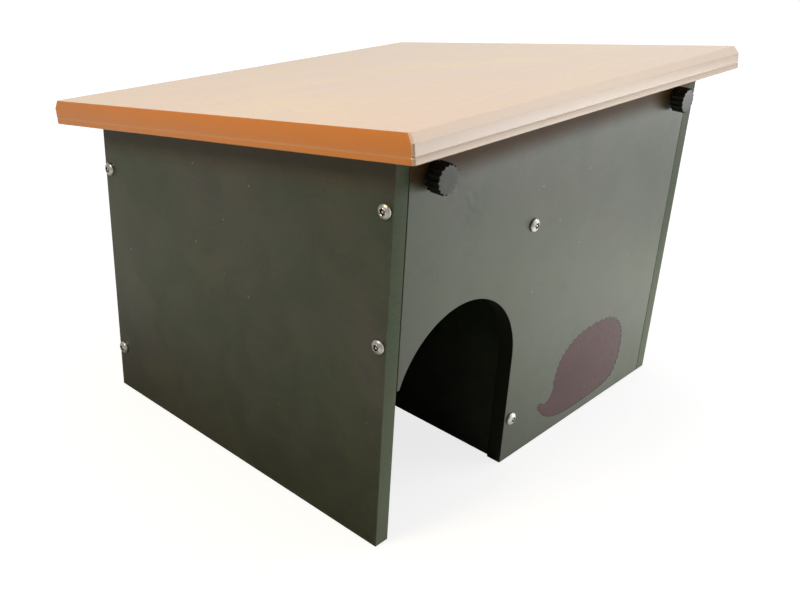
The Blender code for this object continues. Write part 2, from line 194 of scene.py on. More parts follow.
# Flecks: round specks of several sizes, in a share of the cells of a plane.
smallest_fleck_share = 0.35
flecks, given, gives = effect("flecks", ["Flat Place"], ["Crowding", "Share", "Radius"], ["Mask"])
cells = node(
    flecks, "ShaderNodeTexVoronoi", {"Vector": given["Flat Place"], "Scale": given["Crowding"]},
    voronoi_dimensions="2D",
)
tints = node(flecks, "ShaderNodeSeparateColor", {"Color": cells.outputs["Color"]}).outputs
chosen = maths(flecks, "LESS_THAN", tints[0], given["Share"])
reach = maths(
    flecks, "MULTIPLY", maths(flecks, "MULTIPLY", given["Radius"], given["Crowding"]),
    maths(flecks, "ADD", tints[1], smallest_fleck_share),
)
near = maths(flecks, "SUBTRACT", 1.0, maths(flecks, "DIVIDE", cells.outputs["Distance"], reach))
flecks.links.new(maths(flecks, "MULTIPLY", stretch(flecks, near, 0.0, 0.5), chosen), gives["Mask"])

# Scuffing: rubbed places, and hair scratches that mostly cross them one way.
scratch_spread = (34.0, 1150.0, 1.0)
scratches_elsewhere = 0.25
scuffing, given, gives = effect("scuffing", ["Flat Place"], ["Turn"], ["Scuff", "Scratch"])
turned_place = node(
    scuffing, "ShaderNodeVectorRotate", {"Vector": given["Flat Place"], "Angle": given["Turn"]},
    rotation_type="Z_AXIS",
).outputs[0]
drawn_out = node(scuffing, "ShaderNodeMapping", {"Vector": turned_place, "Scale": scratch_spread})
hairs = noise(scuffing, drawn_out.outputs[0], 1.0, 2.0, distortion=0.35)
rubbed_places = stretch(scuffing, noise(scuffing, given["Flat Place"], 10.5, 2.0), 0.55, 0.72)
fine_rub = noise(scuffing, turned_place, 260.0, 6.0, 0.75)
scuffing.links.new(
    maths(scuffing, "MULTIPLY", rubbed_places, stretch(scuffing, fine_rub, 0.42, 0.68)),
    gives["Scuff"],
)
scuffing.links.new(
    maths(scuffing, "MULTIPLY", stretch(scuffing, hairs, 0.66, 0.74),
          maths(scuffing, "ADD", rubbed_places, scratches_elsewhere)),
    gives["Scratch"],
)

# Pressed grain: the fine grain of a pressed or moulded face, on a slow wave.
grain_depth = 0.35
wave_scale = 28.0
pressed_grain, given, gives = effect("pressed grain", ["Place"], ["Size"], ["Height"])
fine_grain = noise(pressed_grain, given["Place"], given["Size"], 4.0, 0.6)
waves = noise(pressed_grain, given["Place"], wave_scale, 1.0)
pressed_grain.links.new(summed(pressed_grain, waves, [(fine_grain, grain_depth)]), gives["Height"])

# Crackle: short dark hairlines along bent cell borders, in some places only.
crackle_bend = (0.012, 0.012, 0.012)
crackle_width = 0.075
crackle, given, gives = effect("crackle", ["Place"], ["Size"], ["Mask"])
bending = node(crackle, "ShaderNodeTexNoise", {"Vector": given["Place"], "Scale": 60.0, "Detail": 2.0})
bent = vectors(crackle, "MULTIPLY_ADD", bending.outputs["Color"], crackle_bend, given["Place"])[0]
borders = node(
    crackle, "ShaderNodeTexVoronoi", {"Vector": bent, "Scale": given["Size"]},
    feature="DISTANCE_TO_EDGE",
).outputs["Distance"]
hairlines = maths(crackle, "SUBTRACT", 1.0, stretch(crackle, borders, 0.0, crackle_width))
breaks = stretch(crackle, noise(crackle, given["Place"], 700.0, 1.0), 0.46, 0.60)
cracked_places = stretch(crackle, noise(crackle, given["Place"], 17.0, 2.0), 0.42, 0.62)
crackle.links.new(
    maths(crackle, "MULTIPLY", maths(crackle, "MULTIPLY", hairlines, breaks), cracked_places),
    gives["Mask"],
)

# Saw marks: lines across an edge, drawn out one way by the spread.
saw_marks, given, gives = effect("saw marks", ["Place", "Spread"], [], ["Height"])
spread_place = vectors(saw_marks, "MULTIPLY", given["Place"], given["Spread"])[0]
saw_marks.links.new(noise(saw_marks, spread_place, 1.0, 3.0, 0.6), gives["Height"])


def new_material(name):
    """An empty material, its Principled node, and the piece's own place from Object coordinates."""
    made = bpy.data.materials.new(name)
    made.use_nodes = True
    tree = made.node_tree
    shader = tree.nodes["Principled BSDF"]
    return made, tree, shader, node(tree, "ShaderNodeTexCoord").outputs["Object"]


def seen_flat(tree, place, first_axis, second_axis):
    """A place seen along one line, which leaves two of its axes."""
    axes = node(tree, "ShaderNodeSeparateXYZ", {0: place}).outputs
    return node(tree, "ShaderNodeCombineXYZ", {0: axes[first_axis], 1: axes[second_axis]}).outputs[0]


def painted(tree, layer_name):
    """What a mesh's own colour layer says: red, green, blue and alpha."""
    layer = node(tree, "ShaderNodeVertexColor", layer_name=layer_name)
    parts = node(tree, "ShaderNodeSeparateColor", {"Color": layer.outputs["Color"]})
    return (*parts.outputs, layer.outputs["Alpha"])


def relief(tree, height, strength, distance):
    """The bump that a height gives."""
    return node(
        tree, "ShaderNodeBump", {"Height": height, "Strength": strength, "Distance": distance}
    ).outputs[0]


def green_board(name, axes, saw_spread, scuff_turn, eave_shade_share):
    """Green board seen along one line, with its clouds, flecks, scuffs, crackle, painted shade and edges.
    """
    made, tree, shader, place = new_material(name)
    flat = seen_flat(tree, place, *axes)
    edge, arris, routed, _ = painted(tree, "board_marks")
    broad, close, middling, deep = (
        place_effect(tree, clouding, Place=place, Size=size) for size in cloud_sizes
    )
    pale, tiny, dark = (
        place_effect(tree, flecks, Flat_Place=flat, Crowding=crowding, Share=share, Radius=radius)[0]
        for crowding, share, radius in fleck_kinds
    )
    scuff, scratch = place_effect(tree, scuffing, Flat_Place=flat, Turn=scuff_turn)
    sawn = place_effect(tree, saw_marks, Place=place, Spread=saw_spread)[0]
    grain = place_effect(tree, pressed_grain, Place=place, Size=board_grain)[0]
    cracks = place_effect(tree, crackle, Place=place, Size=board_crackle)[0]
    # Painted shadow: a brown band below the eaves, where the roof shades the board. The band also loses
    # its coat and grows rougher, which dulls its reflection.
    eave_line = vectors(tree, "DOT_PRODUCT", place, roof_line)[1]
    eave_shaded = stretch(tree, eave_line, eave_height - eave_shade_end, eave_height - eave_shade_full)
    eave_shaded = maths(tree, "MULTIPLY", eave_shaded, eave_shade_share)
    # Painted light: the sawn edges are coloured lighter towards the floor, as if lit more there.
    above_floor = node(tree, "ShaderNodeSeparateXYZ", {0: place}).outputs["Z"]
    sawn_edge_lit = maths(tree, "SUBTRACT", 1.0, stretch(tree, above_floor, 0.0, edge_light_height))
    # The eased arrises are coloured lighter: partly wear and partly a painted highlight.
    eased = maths(tree, "MULTIPLY", arris, maths(tree, "ADD", broad["Mottle"], 0.2))
    face_colour = layered(tree, green, [
        (broad["Cloud"], 0.9, green_plum),
        (close["Cloud"], 0.6, green_warm),
        (middling["Cloud"], 0.4, green_cool),
        (deep["Cloud"], 0.55, green_deep),
        (middling["Mottle"], 0.3, fleck_dark),
        (cracks, 0.4, fleck_dark),
        (eave_shaded, 0.55, eave_shadow_brown),
        (scuff, 0.8, scuff_grey),
        (scratch, 0.35, scuff_grey),
        (dark, 0.7, fleck_dark),
        (tiny, 0.35, fleck_pale),
        (pale, 0.8, fleck_pale),
    ])
    edge_colour = layered(tree, green_sawn, [
        (sawn, 0.7, green),
        (sawn_edge_lit, 0.85, green_sawn_lit),
        (routed, 1.0, doorway_cut_dark),
    ])
    skin = summed(tree, 0.68, [(middling["Mottle"], 0.14), (broad["Cloud"], 0.10), (cracks, -0.15)])
    fill(tree, shader.inputs, {
        "Base Color": layered(tree, face_colour, [(edge, 1.0, edge_colour), (eased, 0.8, green_worn_and_highlit)]),
        "Roughness": summed(tree, 0.37, [
            (middling["Mottle"], 0.05), (eave_shaded, 0.55), (broad["Cloud"], 0.08), (scuff, 0.18),
            (edge, 0.30),
        ]),
        "Normal": relief(
            tree, summed(tree, grain, [(scratch, -0.5), (maths(tree, "MULTIPLY", sawn, edge), 1.6)]),
            0.35, 0.00035,
        ),
        "IOR": 1.2,
        "Specular Tint": board_sheen,
        "Coat Weight": faded(tree, skin, [(eave_shaded, 0.75), (edge, 0.6), (scuff, 0.5)]),
        "Coat Roughness": 0.38,
        "Coat IOR": 1.5,
    })
    return made


def paint(faces, layer, colour):
    """Paints whole faces in a mesh's colour layer."""
    for face in faces:
        for corner in face.loops:
            corner[layer] = colour


def mark_board(shape, face_line):
    """Marks sawn edges red and eased arrises green. The face line is square to the board's faces."""
    marks = shape.loops.layers.float_color.new("board_marks")
    for face in shape.faces:
        lean = abs(face.normal.dot(face_line))
        is_edge = float(lean < edge_lean)
        is_arris = float(edge_lean <= lean < face_lean)
        paint([face], marks, (is_edge, is_arris, 0.0, 1.0))


def finished_piece(name, shape, finish, body, stands_for=(), sharp=sharp_edge):
    """A finished piece, smooth but for its sharp edges, that rides on a body in place of its solids."""
    bmesh.ops.recalc_face_normals(shape, faces=shape.faces)
    for face in shape.faces:
        face.smooth = True
    for edge in shape.edges:
        edge.smooth = len(edge.link_faces) == 2 and edge.calc_face_angle() < sharp
    mesh = bpy.data.meshes.new(name)
    shape.to_mesh(mesh)
    shape.free()
    made = bpy.data.objects.new(name, mesh)
    for material in finish:
        mesh.materials.append(material)
    bpy.context.scene.collection.objects.link(made)
    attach(made, body)
    if stands_for:
        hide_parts(*stands_for)
    return made


def joined_solid(node_name):
    """A solid's triangles joined into whole faces again."""
    shape = bmesh.new()
    shape.from_mesh(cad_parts[node_name].data)
    bmesh.ops.remove_doubles(shape, verts=shape.verts, dist=join_distance)
    bmesh.ops.dissolve_limit(shape, angle_limit=flat_within, verts=shape.verts, edges=shape.edges)
    return shape


def finished_board(node_name, face_line, finish, body, shape=None, sharp=sharp_edge):
    """A board from its solid or a finer shape, with its arrises shaded round."""
    if shape is None:
        shape = joined_solid(node_name)
        mark_board(shape, face_line)
    board = finished_piece("fine_" + node_name, shape, [finish], body, [node_name], sharp)
    board.modifiers.new("round_arrises", "WEIGHTED_NORMAL").keep_sharp = True


across_x = Vector((1, 0, 0))
across_y = Vector((0, 1, 0))
side_green = green_board("green_board_side", ("Y", "Z"), (40.0, 850.0, 850.0), 0.25, 0.4)
front_green = green_board("green_board_front", ("X", "Z"), (850.0, 40.0, 850.0), 1.1, 1.0)
for board_node in ("side_panel_left", "side_panel_right", "partition"):
    finished_board(board_node, across_x, side_green, "house")
finished_board("back_panel", across_y, front_green, "house")

# The front panel's doorway. It is routed through the board, which leaves a smoother cut than the
# saw does, and its cut faces are coloured near black. Its edge is eased on the outside.
doorway_right = -0.040
doorway_top = 0.165
doorway_ease = 0.0005
smallest_cut = 0.00004
on_face = 0.00002
front_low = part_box("front_panel")[0]

shape = joined_solid("front_panel")
mark_board(shape, across_y)
marks = shape.loops.layers.float_color["board_marks"]
doorway_faces = [
    face for face in shape.faces
    if abs(face.normal.y) < edge_lean and face.calc_area() > smallest_cut
    and face.calc_center_median().x < doorway_right and face.calc_center_median().z < doorway_top
    and min(corner.co.x for corner in face.verts) > front_low.x + on_face
]
paint(doorway_faces, marks, (1.0, 0.0, 1.0, 1.0))
doorway_edges = {
    edge for face in doorway_faces for edge in face.edges
    if all(abs(point.co.y - front_low.y) < on_face for point in edge.verts)
}
eased = bmesh.ops.bevel(
    shape, geom=list(doorway_edges), offset=doorway_ease, offset_type="OFFSET", affect="EDGES",
    segments=2, profile=0.5, material=-1, clamp_overlap=True,
)
# The eased faces get the arris mark, so the board colours them lighter: partly wear, partly painted
# highlight.
paint(eased["faces"], marks, (0.0, 1.0, 0.0, 1.0))
finished_board("front_panel", across_y, front_green, "house", shape)

# The hedgehog figure. A plain animal outline cut from thin brown plastic sheet and set into the
# shallow pocket of the front panel, with its face just below the board's and a darker eased rim.
figure_thickness = 0.0006
figure_rim = 0.0009
figure_rim_rise = 0.00012
figure_brown = (0.080, 0.014, 0.034, 1)
figure_brown_warm = (0.090, 0.018, 0.030, 1)
figure_rim_brown = (0.020, 0.010, 0.010, 1)
pocket_depth = 0.0008
pocket_tolerance = 0.0002
facing_front = -0.99

brown_sheet, tree, shader, place = new_material("brown_sheet")
tone = place_effect(tree, clouding, Place=place, Size=30.0)
flat = seen_flat(tree, place, "X", "Z")
pale = place_effect(tree, flecks, Flat_Place=flat, Crowding=70.0, Share=0.2, Radius=0.0007)[0]
grain = place_effect(tree, pressed_grain, Place=place, Size=1400.0)[0]
fill(tree, shader.inputs, {
    "Base Color": layered(tree, figure_brown, [
        (tone["Cloud"], 1.0, figure_brown_warm), (pale, 0.3, fleck_pale)
    ]),
    "Roughness": summed(tree, 0.44, [(tone["Mottle"], 0.1)]),
    "Normal": relief(tree, grain, 0.3, 0.0002),
    "IOR": 1.43,
})

brown_rim, tree, shader, place = new_material("brown_sheet_rim")
mottle = place_effect(tree, clouding, Place=place, Size=60.0)["Mottle"]
fill(tree, shader.inputs, {
    "Base Color": mixed(tree, mottle, figure_rim_brown, figure_brown),
    "Roughness": 0.6,
})

shape = joined_solid("front_panel")
pocket_floor = {
    face for face in shape.faces
    if face.normal.y < facing_front
    and abs(face.calc_center_median().y - front_low.y - pocket_depth) < pocket_tolerance
}
bmesh.ops.delete(
    shape, geom=[face for face in shape.faces if face not in pocket_floor], context="FACES"
)
bmesh.ops.dissolve_limit(shape, angle_limit=flat_within, verts=shape.verts, edges=shape.edges)
raised = bmesh.ops.extrude_face_region(shape, geom=shape.faces[:])["geom"]
top_points = [part for part in raised if isinstance(part, bmesh.types.BMVert)]
top_faces = [part for part in raised if isinstance(part, bmesh.types.BMFace)]
bmesh.ops.translate(shape, verts=top_points, vec=(0, -figure_thickness, 0))
bmesh.ops.recalc_face_normals(shape, faces=shape.faces)
bmesh.ops.inset_region(
    shape, faces=top_faces, thickness=figure_rim, depth=figure_rim_rise, use_even_offset=True
)
for face in shape.faces:
    face.material_index = 0 if face in top_faces else 1
finished_piece("hedgehog_figure", shape, [brown_sheet, brown_rim], "house")

# Pan head screws. Ten stainless wood screws: four through each side panel into the ends of the
# front and back panels, and two through the front panel into the tunnel wall. The domed heads
# have a six-lobed recess round a small centre pin.
ring_steps = 48
head_radius = 0.0051
head_height = 0.0031
head_rim = 0.0009
head_under_edge = 0.0003
head_under_rise = 0.0002
dome_steps = (14, 26, 38, 49, 58)
dome_bend = 1.15
recess_radius = 0.00235
recess_lobe = 0.0004
recess_lip = 0.0002
recess_lip_drop = 0.00008
recess_edge_drop = 0.0003
recess_depth = 0.0016
pin_radius = 0.00088
pin_drop = 0.0005
screw_tip = 0.0001
screw_neck = 0.0006
shank_radius = 0.0017
thread_radius = 0.0020
thread_pitch = 0.0016
thread_steps = 16
thread_foot_share = 0.46
plain_shank = 0.008
screw_length = 0.038
point_length = 0.005
steel_sharp_edge = math.radians(38)
steel_grey = (0.58, 0.555, 0.555, 1)
steel_dull = (0.36, 0.345, 0.345, 1)
steel_recess_shade = (0.090, 0.078, 0.074, 1)


def ringed(shape, rings, steps=ring_steps, lobes=6):
    """A turned shape from rings of (radius, height, lobe depth): each is drawn out of the one before.

    Rings that end where they began make a tube, and any others are closed by flat ends.
    """
    points = bmesh.ops.create_circle(shape, cap_ends=False, segments=steps, radius=1.0)["verts"]
    edges = list({edge for point in points for edge in point.link_edges})
    first = edges
    for count, (radius, height, lobe_depth) in enumerate(rings):
        if count:
            drawn = bmesh.ops.extrude_edge_only(shape, edges=edges)["geom"]
            points = [part for part in drawn if isinstance(part, bmesh.types.BMVert)]
            edges = [part for part in drawn if isinstance(part, bmesh.types.BMEdge)]
        for point in points:
            angle = math.atan2(point.co.y, point.co.x)
            reach = radius - lobe_depth * abs(math.sin(angle * lobes / 2))
            point.co = (reach * math.cos(angle), reach * math.sin(angle), height)
    if rings[0] == rings[-1]:
        bmesh.ops.remove_doubles(shape, verts=shape.verts, dist=join_distance)
    else:
        bmesh.ops.edgeloop_fill(shape, edges=first)
        bmesh.ops.edgeloop_fill(shape, edges=edges)


def thread(shape, core_radius, outer_radius, pitch, bottom, length, steps=thread_steps):
    """A helical thread, as one closed rib sunk a little into its core."""
    foot_radius = core_radius - (outer_radius - core_radius) / 3
    points = [
        shape.verts.new((foot_radius, 0, bottom - pitch * thread_foot_share)),
        shape.verts.new((outer_radius, 0, bottom)),
        shape.verts.new((foot_radius, 0, bottom + pitch * thread_foot_share)),
    ]
    edges = [shape.edges.new((points[n], points[n - 1])) for n in range(3)]
    turns = length / pitch
    count = round(turns * steps)
    spun = bmesh.ops.spin(
        shape, geom=points + edges, cent=(0, 0, 0), axis=(0, 0, 1), dvec=(0, 0, length / count),
        angle=math.tau * turns, steps=count, use_merge=False, use_duplicate=False,
    )
    last = [part for part in spun["geom_last"] if isinstance(part, bmesh.types.BMEdge)]
    bmesh.ops.edgeloop_fill(shape, edges=edges)
    bmesh.ops.edgeloop_fill(shape, edges=last)


def pan_head_screw():
    """One screw at the origin, its head's underside at z 0 and its head upwards."""
    shape = bmesh.new()
    dome_height = head_height - head_rim
    dome = [
        (head_radius * math.cos(angle), head_rim + dome_height * math.sin(angle) ** dome_bend, 0.0)
        for angle in map(math.radians, dome_steps)
    ]
    floor_level = head_height - recess_depth
    ringed(shape, [
        (screw_tip, -screw_length, 0.0),
        (shank_radius * 0.5, -screw_length + point_length * 0.5, 0.0),
        (shank_radius, -screw_length + point_length, 0.0),
        (shank_radius, -screw_neck, 0.0),
        (shank_radius * 1.25, 0.0, 0.0),
        (head_radius - head_under_edge, 0.0, 0.0),
        (head_radius, head_under_rise, 0.0),
        (head_radius, head_rim * 0.9, 0.0),
        *dome,
        (recess_radius + recess_lip, head_height - recess_lip_drop, recess_lobe * 0.9),
        (recess_radius, head_height - recess_edge_drop, recess_lobe),
        (recess_radius * 0.96, floor_level, recess_lobe),
        (pin_radius, floor_level, 0.0),
        (pin_radius, head_height - pin_drop, 0.0),
        (pin_radius * 0.7, head_height - recess_edge_drop, 0.0),
    ])
    # Painted shade: the faces down in the recess are marked, and the steel is coloured near black there.
    recess_shade_layer = shape.loops.layers.float_color.new("recess_shade_layer")
    for face in shape.faces:
        middle = face.calc_center_median()
        in_recess = pin_radius * 1.02 < middle.xy.length < recess_radius
        recess_shade_share = float(in_recess and 0 < middle.z < head_height - recess_edge_drop)
        paint([face], recess_shade_layer, (recess_shade_share, 0.0, 0.0, 1.0))
    thread(
        shape, shank_radius, thread_radius, thread_pitch, -screw_length + point_length,
        screw_length - point_length - plain_shank,
    )
    return shape


bright_steel, tree, shader, place = new_material("bright_steel")
wear = place_effect(tree, clouding, Place=place, Size=120.0)
fine = place_effect(tree, pressed_grain, Place=place, Size=5200.0)[0]
recess_shade_share = painted(tree, "recess_shade_layer")[0]
# The recess mark colours the steel near black inside the recess: painted shade.
fill(tree, shader.inputs, {
    "Base Color": layered(tree, steel_grey, [
        (wear["Cloud"], 0.35, steel_dull), (recess_shade_share, 1.0, steel_recess_shade)
    ]),
    "Roughness": summed(tree, 0.27, [(wear["Mottle"], 0.14)]),
    "Metallic": 1.0,
    "Normal": relief(tree, fine, 0.2, 0.00006),
})


def stand_in_place(shape, node_name, outward, reach):
    """Turns a shape from +Z to a solid's outward line and puts its top at the solid's outer face."""
    low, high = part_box(node_name)
    half_length = (high - low).dot(Vector(map(abs, outward))) / 2
    tip = (low + high) / 2 + outward * half_length
    turn = Vector((0, 0, 1)).rotation_difference(outward).to_matrix().to_4x4()
    bmesh.ops.transform(
        shape, verts=shape.verts, matrix=Matrix.Translation(tip - outward * reach) @ turn
    )


screw_lines = {
    "screw_left_": Vector((-1, 0, 0)),
    "screw_right_": Vector((1, 0, 0)),
    "screw_partition_": Vector((0, -1, 0)),
}
recess_turn = 0.5
turn_between = 1.9
for first_words, outward in screw_lines.items():
    for screw_node in sorted(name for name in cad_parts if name.startswith(first_words)):
        shape = pan_head_screw()
        bmesh.ops.rotate(
            shape, verts=shape.verts, cent=(0, 0, 0), matrix=Matrix.Rotation(recess_turn, 3, "Z")
        )
        recess_turn += turn_between
        stand_in_place(shape, screw_node, outward, head_height)
        finished_piece(
            "fine_" + screw_node, shape, [bright_steel], "house", [screw_node],
            steel_sharp_edge,
        )

# The roof. One sloping panel of tan recycled plastic board, with a moulded edge: a chamfer above,
# a fine V groove all round and a narrow strip below. The top is finely sanded. The groove is painted
# paler, and the front edge paler and less orange, most on its chamfer and corners: painted light.
tan = (0.640, 0.385, 0.170, 1)
tan_yellow = (0.665, 0.425, 0.150, 1)
tan_pink = (0.620, 0.370, 0.205, 1)
tan_edge = (0.810, 0.260, 0.018, 1)
tan_worn_and_lit = (0.760, 0.470, 0.260, 1)
tan_painted_sheen = (0.920, 0.680, 0.500, 1)
tan_dark = (0.300, 0.150, 0.060, 1)
groove_from = 0.0095
groove_to = 0.0160
groove_fill = 0.0006
front_orange_under_sheen = 0.15
chamfer_painted_sheen = 0.95
edge_painted_sheen = 0.15
facing_forward = -0.4
roof_sharp_edge = math.radians(25)
roof_run = Vector((0, math.cos(slope), -math.sin(slope)))

tan_board, tree, shader, place = new_material("tan_board")
flat = seen_flat(tree, place, "X", "Y")
edge, arris, groove, unsheened = painted(tree, "board_marks")
broad = place_effect(tree, clouding, Place=place, Size=4.5)
close = place_effect(tree, clouding, Place=place, Size=16.0)
dark = place_effect(tree, flecks, Flat_Place=flat, Crowding=30.0, Share=0.15, Radius=0.0006)[0]
scuff = place_effect(tree, scuffing, Flat_Place=flat, Turn=0.12)[0]
sanded = place_effect(tree, saw_marks, Place=place, Spread=(22.0, 1300.0, 22.0))[0]
streaks = place_effect(tree, saw_marks, Place=place, Spread=(7.0, 210.0, 7.0))[0]
grain = place_effect(tree, pressed_grain, Place=place, Size=1200.0)[0]
fill(tree, shader.inputs, {
    "Base Color": layered(tree, tan, [
        (broad["Cloud"], 1.0, tan_yellow),
        (close["Cloud"], 0.7, tan_pink),
        (stretch(tree, streaks, 0.45, 0.8), 0.22, tan_worn_and_lit),
        (scuff, 0.18, tan_worn_and_lit),
        (maths(tree, "MAXIMUM", edge, groove), 1.0, tan_edge),
        (arris, 0.8, tan_edge),
        # Painted light: the groove's faces are coloured paler, which fills in the shade in the groove.
        (groove, 0.35, tan_worn_and_lit),
        # Painted sheen: where the alpha mark is low, the faces are coloured much paler.
        (maths(tree, "SUBTRACT", 1.0, unsheened), 1.0, tan_painted_sheen),
        (dark, 0.5, tan_dark),
    ]),
    "Roughness": summed(tree, 0.42, [(close["Mottle"], 0.08), (edge, 0.06)]),
    "Normal": relief(tree, summed(tree, grain, [(sanded, 0.5)]), 0.3, 0.00025),
    "IOR": 1.6,
    "Coat Weight": 1.0,
    "Coat Roughness": 0.26,
})


def way_out(lean):
    """Which way a groove's floor comes out along one line: one way, the other, or not at all."""
    return 0 if abs(lean) < edge_lean else math.copysign(1, lean)


shape = joined_solid("roof_panel")
mark_board(shape, roof_line)
marks = shape.loops.layers.float_color["board_marks"]
roof_top = max(point.co.dot(roof_line) for point in shape.verts)
groove_faces = set()
for face in shape.faces:
    upward = face.normal.dot(roof_line)
    below_top = roof_top - face.calc_center_median().dot(roof_line)
    if groove_from < below_top < groove_to and edge_lean < abs(upward) < face_lean:
        paint([face], marks, (0.0, 0.0, 1.0, 1.0))
        groove_faces.add(face)
    # Painted sheen: forward-facing faces keep little of their edge orange and are coloured paler, the
    # chamfer and corners most.
    if face.normal.dot(roof_run) < facing_forward:
        chamfer_or_corner = upward > edge_lean or abs(face.normal.x) > edge_lean
        painted_sheen = chamfer_painted_sheen if chamfer_or_corner else edge_painted_sheen
        for corner in face.loops:
            orange = (share * front_orange_under_sheen for share in corner[marks][:3])
            corner[marks] = (*orange, 1.0 - painted_sheen)
for point in shape.verts:
    if groove_faces.issuperset(point.link_faces):
        lean = sum((face.normal for face in point.link_faces), Vector())
        out = way_out(lean.x) * across_x + way_out(lean.dot(roof_run)) * roof_run
        point.co += groove_fill * out
finished_board(
    "roof_panel", roof_line, tan_board, "roof", shape, sharp=roof_sharp_edge
)

# Roof battens. Two strips of the green board under the roof, just inside the front and back
# panels, where they keep the roof in its place. Each is held from below by three screws.
countersunk_radius = 0.0044
countersunk_height = 0.0028
countersunk_rim = 0.0003
countersunk_edge = 0.0001
countersunk_ease = 0.00015
batten_screw_tip = 0.0002
batten_screw_length = 0.045
batten_shank_radius = 0.0018
batten_thread_radius = 0.00222
batten_thread_pitch = 0.0018
batten_plain_shank = 0.012
socket_radius = 0.0016
socket_lobe = 0.0003
socket_lip = 0.0002
socket_depth = 0.0018

for batten_node in ("roof_batten_front", "roof_batten_rear"):
    finished_board(batten_node, across_y, front_green, "roof")

for screw_node in sorted(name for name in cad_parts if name.startswith("batten_screw_")):
    shape = bmesh.new()
    ringed(shape, [
        (batten_screw_tip, -batten_screw_length, 0.0),
        (batten_shank_radius * 0.5, -batten_screw_length + point_length * 0.5, 0.0),
        (batten_shank_radius, -batten_screw_length + point_length, 0.0),
        (batten_shank_radius, -countersunk_height, 0.0),
        (countersunk_radius, -countersunk_rim, 0.0),
        (countersunk_radius, -countersunk_edge, 0.0),
        (countersunk_radius - countersunk_ease, 0.0, 0.0),
        (socket_radius + socket_lip, 0.0, socket_lobe),
        (socket_radius, -socket_lip, socket_lobe),
        (socket_radius * 0.94, -socket_depth, socket_lobe),
    ])
    thread(
        shape, batten_shank_radius, batten_thread_radius, batten_thread_pitch,
        point_length - batten_screw_length, batten_screw_length - point_length - batten_plain_shank,
    )
    stand_in_place(shape, screw_node, Vector((0, 0, -1)), 0.0)
    finished_piece(
        "fine_" + screw_node, shape, [bright_steel], "roof", [screw_node],
        steel_sharp_edge,
    )

# Threaded inserts. Two brass sleeves pressed into the front batten behind the knobs, with
# grooves and a fine knurl outside and a bore for the studs.
insert_radius = 0.00475
insert_length = 0.013
insert_edge = 0.0002
insert_groove = 0.0004
insert_bore = 0.00335
insert_mouth = 0.0004
insert_knurl = 0.00012
insert_teeth = 24
insert_bands = 4
knurled_from = 0.0003
knurled_to = 0.0020
grooved_from = 0.0023
grooved_to = 0.0029
brass_yellow = (0.72, 0.50, 0.20, 1)
brass_brown = (0.42, 0.26, 0.10, 1)

turned_brass, tree, shader, place = new_material("turned_brass")
tarnish = place_effect(tree, clouding, Place=place, Size=110.0)
fill(tree, shader.inputs, {
    "Base Color": layered(tree, brass_yellow, [(tarnish["Cloud"], 0.6, brass_brown)]),
    "Roughness": summed(tree, 0.28, [(tarnish["Mottle"], 0.2)]),
    "Metallic": 1.0,
})

grooved_radius = insert_radius - insert_groove
forward = Vector((0, -1, 0))
for side in ("left", "right"):
    rings = [
        (insert_bore, -insert_mouth, 0.0),
        (insert_bore + insert_mouth, 0.0, 0.0),
        (insert_radius - insert_edge, 0.0, 0.0),
    ]
    for band in range(insert_bands):
        band_top = -insert_length * band / insert_bands
        rings += [
            (insert_radius, band_top - knurled_from, insert_knurl),
            (insert_radius, band_top - knurled_to, insert_knurl),
            (grooved_radius, band_top - grooved_from, 0.0),
            (grooved_radius, band_top - grooved_to, 0.0),
        ]
    rings += [(grooved_radius, -insert_length, 0.0), (insert_bore, -insert_length, 0.0), rings[0]]
    shape = bmesh.new()
    ringed(shape, rings, steps=insert_teeth * 4, lobes=insert_teeth)
    insert_node = "threaded_insert_" + side
    stand_in_place(shape, insert_node, forward, 0.0)
    finished_piece("fine_" + insert_node, shape, [turned_brass], "roof", [insert_node])

# Thumb screws. On each side of the front a fluted knob of black moulded plastic on a steel
# M6 stud, with a plain steel washer under it. The stud goes through the front panel's slot
# into its insert, and holds the roof down.
knob_radius = 0.0101
knob_height = 0.0108
knob_flutes = 16
knob_flute_depth = 0.0012
knob_edge = 0.0005
knob_underside = 0.0070
knob_bore = 0.00335
knob_bore_ease = 0.0003
knob_bore_depth = 0.0088
knob_bore_end = 0.0005
knob_facet_steps = 10
knob_sharp_edge = math.radians(42)
ridge_wear_fall = 3
stud_radius = 0.00298
stud_core = 0.00246
stud_length = 0.0394
stud_pitch = 0.001
stud_thread_steps = 24
stud_in_knob = 0.0085
stud_end_ease = 0.0003
stud_tip = 0.0008
stud_tip_ease = 0.0007
stud_thread_from = 0.0012
washer_radius = 0.006
washer_thickness = 0.0016
washer_bore = 0.00335
washer_edge = 0.0002
knob_black = (0.006, 0.008, 0.008, 1)
knob_grey = (0.014, 0.016, 0.015, 1)
knob_dust = (0.100, 0.100, 0.090, 1)

black_plastic, tree, shader, place = new_material("black_plastic")
ridges = painted(tree, "knob_ridges")[0]
moulding = place_effect(tree, clouding, Place=place, Size=90.0)
pores = place_effect(tree, pressed_grain, Place=place, Size=2600.0)[0]
rubbed = maths(tree, "MULTIPLY", ridges, moulding["Mottle"])
fill(tree, shader.inputs, {
    "Base Color": layered(tree, knob_black, [
        (moulding["Cloud"], 0.5, knob_grey), (rubbed, 0.12, knob_dust)
    ]),
    "Roughness": summed(tree, 0.27, [(moulding["Mottle"], 0.10)]),
    "Normal": relief(tree, pores, 0.25, 0.00012),
    "IOR": 1.48,
})

